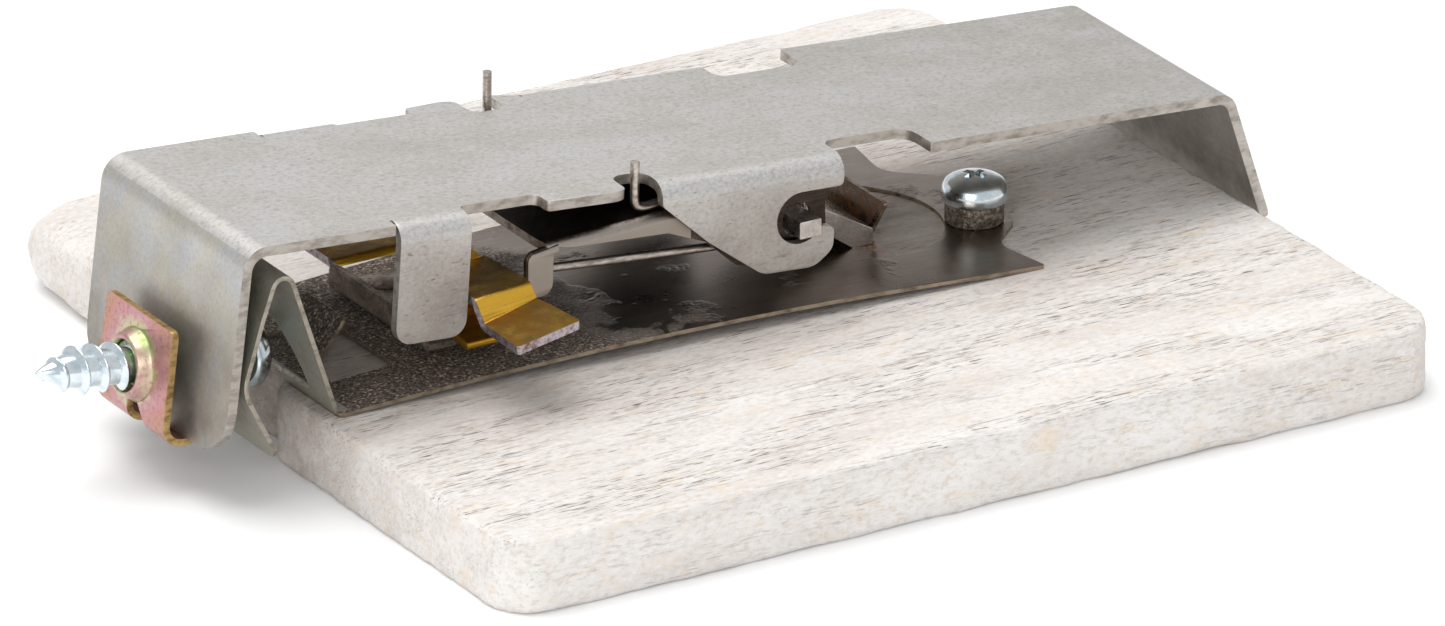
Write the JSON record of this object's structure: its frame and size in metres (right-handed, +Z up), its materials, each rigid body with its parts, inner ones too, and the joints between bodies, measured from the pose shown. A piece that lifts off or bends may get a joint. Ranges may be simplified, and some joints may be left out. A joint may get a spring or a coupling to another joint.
{
  "type": "snap mouse trap",
  "caption": "Snap mouse trap: a folded steel jaw channel hung by hook ears on a sprung sheet steel base, with a stepped side trigger, screwed to a small wooden board.",
  "frame": {"origin": "centre of the wooden board's underside, on the surface that it stands on", "axes": "+X along the board towards the jaw's mouth, +Y across the board to the far side, +Z up"},
  "size_m": [0.1302, 0.096, 0.0276],
  "materials": {
    "limed_wood": "limewashed, weathered, matte",
    "spring_steel": "dark oiled spring steel, dusty",
    "bright_steel": "bright drawn steel",
    "zinc_screw": "blue-white zinc plate, shiny",
    "dirty_steel": "dull steel with dirt and grease",
    "zinced_sheet": "matte zinc coat, mottled and scratched",
    "chromate_clip": "pink and yellow chromate over zinc",
    "yellow_chromate": "golden yellow chromate, sheared edges bright"
  },
  "bodies": {
    "base": {"base_board": "limed_wood", "spring_plate": "spring_steel", "hairpin_spring": "spring_steel", "trunnion_bar": "bright_steel", "hold_down_screw": "zinc_screw", "spacer_collar": "dirty_steel", "trigger_bracket": "dirty_steel", "trigger_pin": "bright_steel", "bracket_rivets": "bright_steel"},
    "jaw": {"jaw_channel": "zinced_sheet", "clamp_screw": "zinc_screw", "clip_on_nut": "chromate_clip"},
    "latch": {"latch_lever": "dirty_steel", "near_wire_spring": "bright_steel", "far_wire_spring": "bright_steel"},
    "trigger": {"trigger_treadle": "yellow_chromate"}
  },
  "joints": [
    {"name": "jaw_pivot", "type": "hinge", "parent": "base", "child": "jaw", "pos_m": [0.0008, 0, 0.0164], "axis": [0, -1, 0], "range_deg": [0, 5], "stiffness_Nm_per_rad": 0.6, "springref_deg": -14.32, "deforming": ["hairpin_spring"]},
    {"name": "latch_pivot", "type": "hinge", "parent": "base", "child": "latch", "pos_m": [0.0008, 0, 0.0164], "axis": [0, -1, 0], "range_deg": [0, 3.5], "stiffness_Nm_per_rad": 0.05, "springref_deg": -14.32},
    {"name": "trigger_pivot", "type": "hinge", "parent": "base", "child": "trigger", "pos_m": [-0.0326, -0.0044, 0.012], "axis": [1, 0, 0], "range_deg": [0, 4], "stiffness_Nm_per_rad": 0.02, "springref_deg": -17.19}
  ]
}
